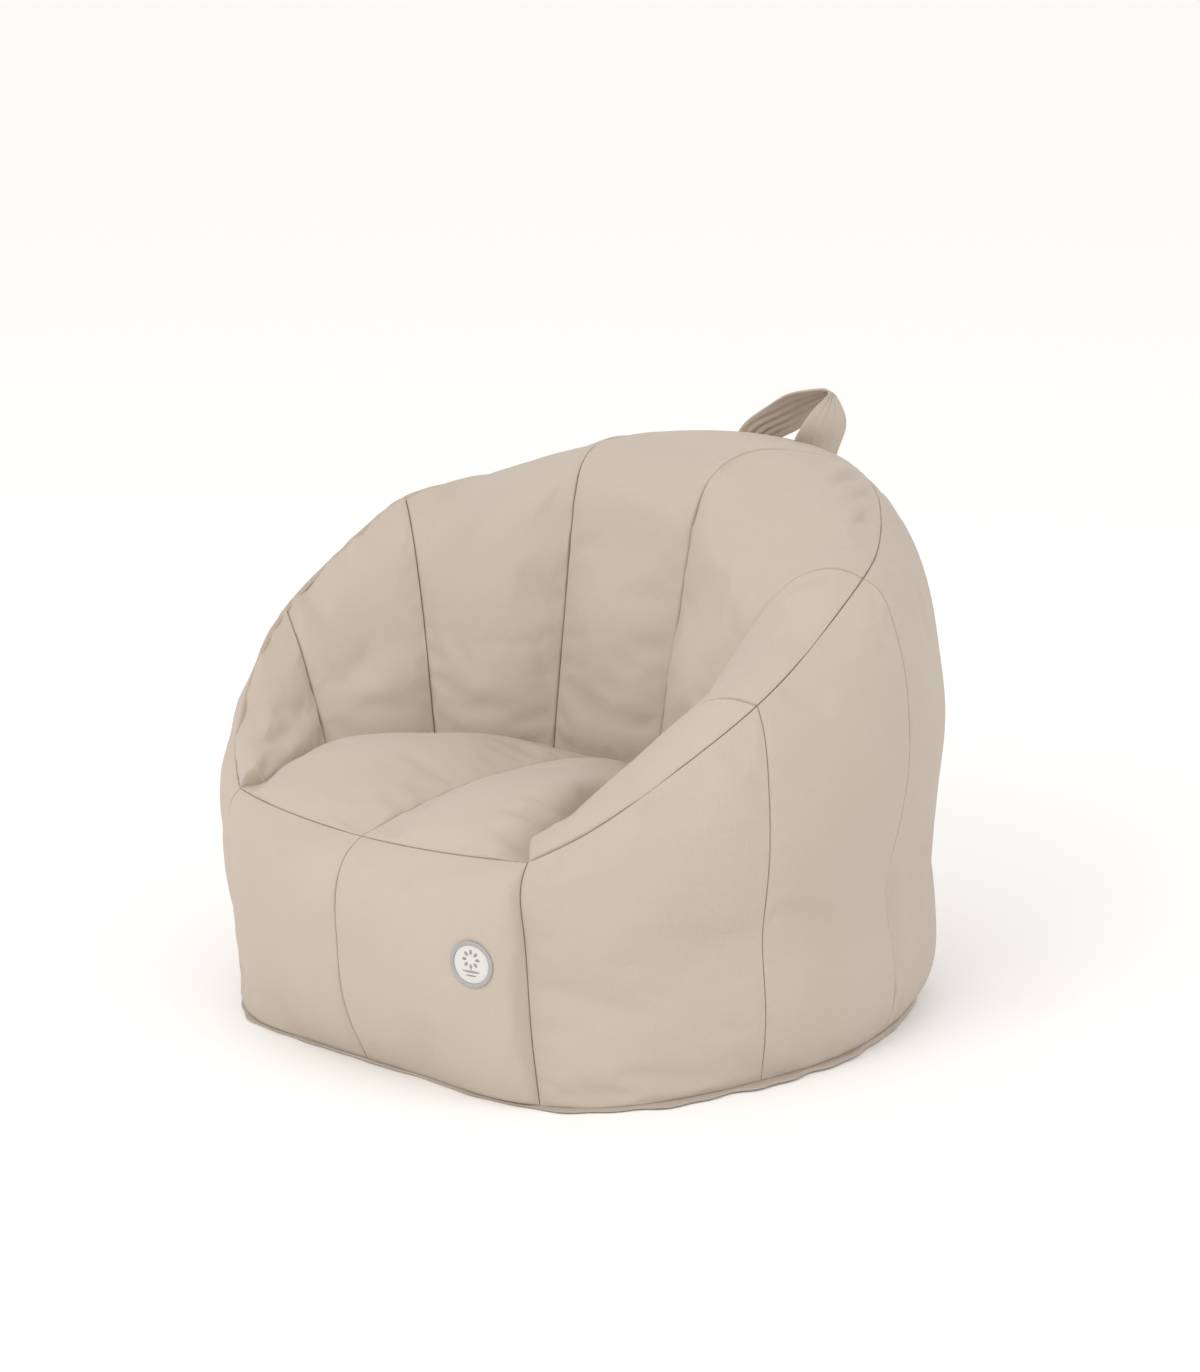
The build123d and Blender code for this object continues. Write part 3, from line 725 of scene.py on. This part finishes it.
def seat_grid(side):
    """Seat half: a Coons patch between its four edges, raised by a crown that is a product
    of a sine across and a front-heavy sine from front to back."""
    u, v = spread(SEAT_WIDE), spread(SEAT_DEEP)
    angles = np.linspace(0, CORNER, 20)
    rim = rim_line(angles)
    front_line = polar(angles, rim[:, 0], rim[:, 1])
    front = seat_edge(front_line, u)
    corner = front[-1]
    foot = [np.append(TUB_SEAMS[a][0], 0.190) for a in (155.0, 101.0, 70.7)]
    middle = np.array([0, .030, .190])
    rear = seat_edge([middle, *foot], u)
    near = np.stack([0 * v, front[0, 1] + (middle[1] - front[0, 1]) * v,
                     smooth_line(SEAT_VALLEY, v)[:, 0]], -1)
    aside_line = seat_edge([corner, np.array([.163, -.200, .193]), foot[-1]], v)
    s, t = u[:, None, None], v[None, :, None]
    grid = (front[:, None] * (1 - t) + rear[:, None] * t + near[None] * (1 - s) + aside_line[None] * s
            - front[0] * (1 - s) * (1 - t) - corner * s * (1 - t) - middle * (1 - s) * t - foot[-1] * s * t)
    crown = SEAT_CROWN * np.sin(pi * s[..., 0]) ** 0.75 * np.sin(pi * t[..., 0] ** 0.8) ** 0.8
    grid[..., 2] += crown
    return grid * np.array([side, 1, 1])


SEAT_FOLDS = {
    "right": [((.150, -.250, .200), (.150, -.090, .210), .020, .0120),
              ((.104, -.212, .217), (.148, -.186, .202), .0055, .0070),
              ((.104, -.196, .221), (.148, -.160, .204), .0055, .0060),
              ((.112, -.236, .208), (.140, -.222, .200), .006, .0030),
              ((.057, -.033, .215), (.064, .005, .205), .016, .0060)],
    "left": [((-.035, -.232, .205), (-.012, -.205, .200), .006, .0025),
             ((-.050, -.010, .215), (-.010, .000, .206), .012, .0040),
             ((-.140, -.195, .205), (-.110, -.170, .214), .008, .0030)],
}
for number, (word, side) in enumerate((("right", 1), ("left", -1))):
    name = "canvas_seat_" + word
    grid = seat_grid(side)
    if side < 0:
        grid = grid[::-1]
    grid = grid + normals(grid) * (ripple(grid, 71 + number, 0.08, 0.0015) * edge_rise(grid))[..., None]
    grid = fill_with_beads(name, grid, slack=0.015, pressure=3.0, reach=0.010)
    grid = creased(grid, SEAT_FOLDS[word])
    sink = -normals(grid)
    outside = np.array([side, 0, 0])
    sink[0 if side < 0 else -1] = SLANT * outside + np.array([0, 0, -SLANT])
    sink[-1 if side < 0 else 0] = (0, 0, -1)
    sink[:, 0] = (0, SLANT, -SLANT)
    sink[:, -1] = SLANT * level(grid[:, -1] - SEAT_MIDDLE) + np.array([0, 0, -SLANT])
    piece = sewn_panel(name, grid, sink, canvas)
    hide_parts("seat_panel_" + word)


# ---------------------------------------------------------------- base
# Two halves of a heavier canvas close the bag underneath, on each side of the zip. They are
# sewn to the foot of the wall, and the slack cloth rolls out over the floor at one side.
ZIP_Y, ZIP_REACH, ZIP_OPEN, BUTT_GAP, ZIP_EASE = .060, .180, .014, .0005, .006
BASE_FLAT, BASE_HALF, BASE_ENDS = .0006, .262, 102.4
ROLL_POINTS = 7
BASE_RADIUS, BASE_DEPTH, ZIP_TUCK = .28, .25, 0.3
# How far the rolled cloth stands out past the base seam: angle, metres.
BASE_LIP = [(0, .002), (20, .002), (33, .004), (42, .0065), (60, .0075), (80, .0065), (95, .003),
            (110, .0015), (180, .001), (270, .001), (320, .002), (330, .004), (338, .003), (360, .002)]


def base_grid(start, end, side):
    """Base half: from the seam the cloth rolls through half an ellipse on to the floor, and
    then runs straight to the zip's edge. Small waves make it lie unevenly."""
    f = spread(radians(end - start) * BASE_RADIUS)
    angle = start + (end - start) * f
    seam = polar(angle, base_radius(angle), base_height(angle))
    edge_x = BASE_HALF * (1 - 2 * f) * side
    gap = BUTT_GAP + (ZIP_OPEN - BUTT_GAP) * np.clip((ZIP_REACH + ZIP_EASE - abs(edge_x)) / ZIP_EASE, 0, 1)
    edge = np.stack([edge_x, ZIP_Y + side * gap, 0 * f + BASE_FLAT], -1)
    lip = np.interp(angle % 360, *np.transpose(BASE_LIP))
    lip = lip * (1 + 0.35 * np.sin(angle * 0.37) + 0.25 * np.sin(angle * 0.83 + 1))
    turn = np.linspace(0, pi, ROLL_POINTS)[:-1]
    out = level(seam)[:, None] * (lip[:, None] * np.sin(turn))[..., None]
    drop = (seam[:, 2:] - BASE_FLAT) * (1 - np.cos(turn)) / 2
    roll = seam[:, None] + out - np.array([0, 0, 1]) * drop[..., None]
    foot = seam * np.array([1, 1, 0]) + np.array([0, 0, BASE_FLAT])
    t = spread(BASE_DEPTH)[None, :, None]
    flat = foot[:, None] * (1 - t) + edge[:, None] * t
    grid = np.concatenate([roll, flat], 1)
    unevenness = np.abs(ripple(flat, 91 + side, 0.07, 0.0012)) * np.sin(pi * t[..., 0]) ** 0.5
    grid[:, ROLL_POINTS - 1:, 2] += unevenness
    return grid[::-1]


BASE_TINT = (0.47, 0.408, 0.352)
base_canvas = canvas_material("base_canvas", BASE_TINT, 0.0018)
for word, start, end, side in (("front", -BASE_ENDS, BASE_ENDS, -1), ("rear", BASE_ENDS, 360 - BASE_ENDS, 1)):
    grid = base_grid(start, end, side)
    sink = np.zeros_like(grid) + np.array([0, 0, ZIP_TUCK])
    sink[:, 0] = -FOOT_TUCK[0] * level(grid[:, 0]) + np.array([0, 0, FOOT_TUCK[1]])
    piece = sewn_panel("canvas_base_" + word, grid, sink, base_canvas)
    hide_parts("base_panel_" + word)


# ---------------------------------------------------------------- zip
# Moulded plastic teeth are clamped on two woven tapes, which are sewn in behind the base's
# slot. A painted metal slider without a pull runs on them, between two moulded stops.
TAPE_COLOUR = (0.33, 0.28, 0.235, 1)
TEETH_COLOUR = (0.30, 0.255, 0.215, 1)
SLIDER_COLOUR = (0.42, 0.375, 0.33, 1)


def bumpy_material(name, colour, roughness, scale, depth, stretch=(1, 1, 1), metal=0.0, dark=0.75):
    """Material whose colour, roughness and bump follow one stretched noise in object space."""
    material, nodes, links, shader = node_material(name, colour, roughness)
    shader.inputs["Metallic"].default_value = metal
    mapping = nodes.new("ShaderNodeMapping")
    mapping.inputs["Scale"].default_value = stretch
    links.new(nodes.new("ShaderNodeTexCoord").outputs["Object"], mapping.inputs["Vector"])
    noise = nodes.new("ShaderNodeTexNoise")
    noise.inputs["Scale"].default_value = scale
    noise.inputs["Detail"].default_value = 4
    links.new(mapping.outputs[0], noise.inputs["Vector"])
    ramp = nodes.new("ShaderNodeValToRGB")
    ramp.color_ramp.elements[0].position, ramp.color_ramp.elements[1].position = 0.35, 0.65
    ramp.color_ramp.elements[0].color = (colour[0] * dark, colour[1] * dark, colour[2] * dark, 1)
    ramp.color_ramp.elements[1].color = colour
    links.new(noise.outputs["Fac"], ramp.inputs[0])
    links.new(ramp.outputs[0], shader.inputs["Base Color"])
    rough = nodes.new("ShaderNodeMapRange")
    rough.inputs["To Min"].default_value = roughness * 0.85
    rough.inputs["To Max"].default_value = min(1.0, roughness * 1.15)
    links.new(noise.outputs["Fac"], rough.inputs["Value"])
    links.new(rough.outputs[0], shader.inputs["Roughness"])
    bump = nodes.new("ShaderNodeBump")
    bump.inputs["Strength"].default_value = 0.6
    bump.inputs["Distance"].default_value = depth
    links.new(noise.outputs["Fac"], bump.inputs["Height"])
    links.new(bump.outputs[0], shader.inputs["Normal"])
    return material


woven_tape = bumpy_material("zip_tape", TAPE_COLOUR, 0.85, 260, 0.0002, (3, 0.5, 1))
moulded_teeth = bumpy_material("zip_teeth", TEETH_COLOUR, 0.42, 900, 0.00005, dark=0.9)
painted_slider = bumpy_material("zip_slider", SLIDER_COLOUR, 0.38, 500, 0.00006, metal=0.25, dark=0.88)
for node, material in (("zip_tape_front", woven_tape), ("zip_tape_rear", woven_tape),
                       ("zip_teeth_front", moulded_teeth), ("zip_teeth_rear", moulded_teeth),
                       ("zip_stops", moulded_teeth), ("zip_slider", painted_slider)):
    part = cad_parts[node]
    part.data.materials.clear()
    part.data.materials.append(material)


# ---------------------------------------------------------------- handle
# A band of doubled canvas forms the carrying loop. Its two ends are caught in the rim seam
# behind the back; it leans over and its top is pleated where it was sewn.
# The band's front and rear edge, from the foot on the +X side over to the other one.
HANDLE_FRONT = [(.043, .224, .424), (.042, .222, .438), (.049, .220, .450), (.048, .250, .471),
                (.044, .268, .479), (.028, .250, .479), (.012, .248, .474), (-.010, .249, .461),
                (-.029, .238, .443), (-.034, .232, .426)]
HANDLE_REAR = [(.052, .268, .421), (.054, .273, .435), (.055, .278, .452), (.048, .274, .472),
               (.036, .284, .470), (.015, .286, .454), (.004, .282, .441), (-.006, .276, .434),
               (-.014, .270, .428), (-.018, .266, .421)]
HANDLE_CLOTH = .0022
HANDLE_LENGTH, HANDLE_SPACING, HANDLE_ROWS = 0.19, 0.004, 17
PLEATS, PLEAT_DEPTH, PLEAT_DRIFT, FLATTER_FOOT = 5, .0023, 1.3, 0.35
run, wide = spread(HANDLE_LENGTH, HANDLE_SPACING), np.linspace(0, 1, HANDLE_ROWS)
front_edge, rear_edge = along(HANDLE_FRONT, run), along(HANDLE_REAR, run)
s, t = wide[:, None, None], run[None, :, None]
grid = front_edge[None] * (1 - s) + rear_edge[None] * s
pleat = np.sin(2 * pi * PLEATS * (s + 0.10 * np.sin(PLEAT_DRIFT * 2 * pi * t))) * np.sin(pi * s)
grid = grid + normals(grid) * pleat * PLEAT_DEPTH * (FLATTER_FOOT + (1 - FLATTER_FOOT) * t)
strap_canvas = canvas_material("strap_canvas", CANVAS_TINT, THREAD)
strap = add_piece("canvas_handle", grid.reshape(-1, 3), grid_faces(*grid.shape[:2]), strap_canvas)
panel_map(strap, grid, np.zeros(grid.shape[:2]))
thicken(strap, HANDLE_CLOTH, 0)
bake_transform(strap)
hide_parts("handle_strap")


# ---------------------------------------------------------------- badge
# A round woven badge with a satin-stitched border is sewn on the right-hand front panel. Its
# mark is a plain ring of seeds over two bars.
BADGE_AT = np.array([.1355, -.2820, .1161])
BADGE_NEAR = .034
FACE_RADIUS, RING_MIDDLE, RING_HALF, RING_RISE = .0158, .0171, .0017, .0009
FACE_LIFT, FACE_BODY, MARK_RISE = .0007, .0006, .0005
SEEDS, SEED_CIRCLE, SEED_SIZE = 8, .0058, .0012
MARK_UP = .0040
BARS = ((0, -.0058, .0078, .0009), (0, -.0090, .0050, .0006))
BADGE_POINTS, MARK_POINTS, RING_SIDES, SATIN_THREADS = 25, 7, 12, 120


def cloth_under(grid, centre, near):
    """Smooth stand-in for a panel round a point: a cubic fitted by least squares to the
    panel's points over their own flat plane. Returns a function from offsets across and
    up, and a height above the cloth, to points."""
    points = grid.reshape(-1, 3)
    points = points[np.linalg.norm(points - centre, axis=1) < near]
    middle = points.mean(0)
    out = np.linalg.svd(points - middle)[2][2]
    out = out * np.sign(out @ (middle * np.array([1, 1, 0])))
    across = np.cross([0, 0, 1], out)
    across /= np.linalg.norm(across)
    up = np.cross(out, across)

    def terms(a, b):
        return np.stack([1 + 0 * a, a, b, a * a, a * b, b * b, a ** 3, a * a * b, a * b * b, b ** 3], -1)

    offset = (points - centre) @ np.stack([across, up, out], 1)
    fit = np.linalg.lstsq(terms(offset[:, 0], offset[:, 1]), offset[:, 2], rcond=None)[0]

    def place(a, b, rise):
        return (centre + a[..., None] * across + b[..., None] * up
                + (terms(a, b) @ fit + rise)[..., None] * out)
    return place


def disc(size):
    """Square grid bent into a disc of radius 1: each side is drawn in by the other's square."""
    x, y = np.meshgrid(np.linspace(-1, 1, size), np.linspace(-1, 1, size), indexing="ij")
    return x * np.sqrt(1 - y * y / 2), y * np.sqrt(1 - x * x / 2)


def badge_piece(name, points, faces, material, finish, *nodes):
    """Fastened badge piece on the chair."""
    piece = add_piece(name, points, faces, material)
    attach(piece, "chair")
    if nodes:
        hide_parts(*nodes)
    return piece


on_cloth = cloth_under(front_grids["right"], BADGE_AT, BADGE_NEAR)
woven_face = bumpy_material("badge_face", (0.66, 0.635, 0.615, 1), 0.8, 1100, 0.00012, (1, 1, 2.5), dark=0.93)
satin_ring = bumpy_material("badge_ring", (0.40, 0.39, 0.385, 1), 0.5, 1500, 0.00015, (1, 1, 1), dark=0.82)
satin_mark = bumpy_material("badge_mark", (0.30, 0.295, 0.29, 1), 0.55, 1500, 0.0001, (3, 1, 1), dark=0.85)
x, y = disc(BADGE_POINTS)
face = on_cloth(x * FACE_RADIUS, y * FACE_RADIUS, FACE_LIFT * (0.75 + 0.25 * (1 - x * x - y * y)))
piece = badge_piece("badge_face_woven", face.reshape(-1, 3), grid_faces(BADGE_POINTS, BADGE_POINTS),
                    woven_face, "badge_face", "badge_face")
piece.modifiers.new("body", "SOLIDIFY").thickness = FACE_BODY

around = 2 * pi * np.arange(4 * SATIN_THREADS) / (4 * SATIN_THREADS)
section = 2 * pi * np.arange(RING_SIDES) / RING_SIDES
rib = 0.0001 * np.sin(SATIN_THREADS * around)[:, None]
radius = RING_MIDDLE + RING_HALF * np.cos(section)[None] + 0 * rib
rise = RING_RISE + (RING_RISE + rib) * np.sin(section)[None]
border = on_cloth(radius * np.sin(around)[:, None], radius * np.cos(around)[:, None], rise)
i = np.arange(border[..., 0].size).reshape(border.shape[:2])
ahead = np.roll(i, -1, 0)
loop = np.stack([i, ahead, np.roll(ahead, -1, 1), np.roll(i, -1, 1)], -1).reshape(-1, 4)
badge_piece("badge_border", border.reshape(-1, 3), loop, satin_ring, "badge_ring", "badge_ring")

x, y = disc(MARK_POINTS)
dome = FACE_LIFT + MARK_RISE * (1 - 0.8 * (x * x + y * y))
marks = []
for turn in 2 * pi * np.arange(SEEDS) / SEEDS:
    a, b = SEED_SIZE * x, 1.7 * SEED_SIZE * y
    marks.append(on_cloth(SEED_CIRCLE * sin(turn) + a * cos(turn) + b * sin(turn),
                          MARK_UP + SEED_CIRCLE * cos(turn) - a * sin(turn) + b * cos(turn), dome))
for middle, height, half, thick in BARS:
    marks.append(on_cloth(middle + half * x, height + thick * y, dome))
marks = np.stack(marks).reshape(-1, 3)
first = MARK_POINTS ** 2 * np.arange(SEEDS + len(BARS))[:, None, None]
faces = (grid_faces(MARK_POINTS, MARK_POINTS)[None] + first).reshape(-1, 4)
badge_piece("badge_mark_stitched", marks, faces, satin_mark, "badge_ring")


# ---------------------------------------------------------------- filling
# Loose polystyrene beads fill a thin cotton lining bag inside the cover. Both are closed
# bodies here; the bag's skin is puckered and lies just outside the beads.
VOXEL = .006
BAG_LIFT, PUCKER = .0018, .0012


def smooth_copy(node, name, replaced, lift, pucker, seed, material):
    """Rounded copy of a CAD body: merged, remeshed in even cells and smoothed, then moved
    along its normals by lift and by seeded waves."""
    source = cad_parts[node]
    mesh = source.data.copy()
    mesh.transform(source.matrix_world)
    merged = bmesh.new()
    merged.from_mesh(mesh)
    bmesh.ops.remove_doubles(merged, verts=merged.verts, dist=1e-5)
    merged.to_mesh(mesh)
    merged.free()
    body = bpy.data.objects.new("body", mesh)
    bpy.context.scene.collection.objects.link(body)
    cells = body.modifiers.new("cells", "REMESH")
    cells.mode, cells.voxel_size = "VOXEL", VOXEL
    soften = body.modifiers.new("soften", "SMOOTH")
    soften.iterations, soften.factor = 12, 0.6
    shape = body.evaluated_get(bpy.context.evaluated_depsgraph_get()).to_mesh()
    n = len(shape.vertices)
    points, out = np.empty(n * 3), np.empty(n * 3)
    shape.vertices.foreach_get("co", points)
    shape.vertices.foreach_get("normal", out)
    faces = [tuple(face.vertices) for face in shape.polygons]
    points, out = points.reshape(-1, 3), out.reshape(-1, 3)
    bpy.data.objects.remove(body)
    points = points + out * (lift + ripple(points[:, None], seed, 0.03, pucker))
    piece = add_piece(name, points, faces, material)
    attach(piece, "chair")
    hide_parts(replaced)
    return piece


lining = bumpy_material("lining", (0.60, 0.57, 0.52, 1), 0.85, 40, 0.004, (1, 1, 2.5), dark=0.9)
beads = bumpy_material("beads", (0.80, 0.80, 0.79, 1), 0.6, 350, 0.002, dark=0.92)
smooth_copy("bead_fill", "beads_filling", "bead_fill", 0, .0003, 5, beads)
bag_body = smooth_copy("bead_fill", "lining_bag", "inner_bag", BAG_LIFT, PUCKER, 7, lining)
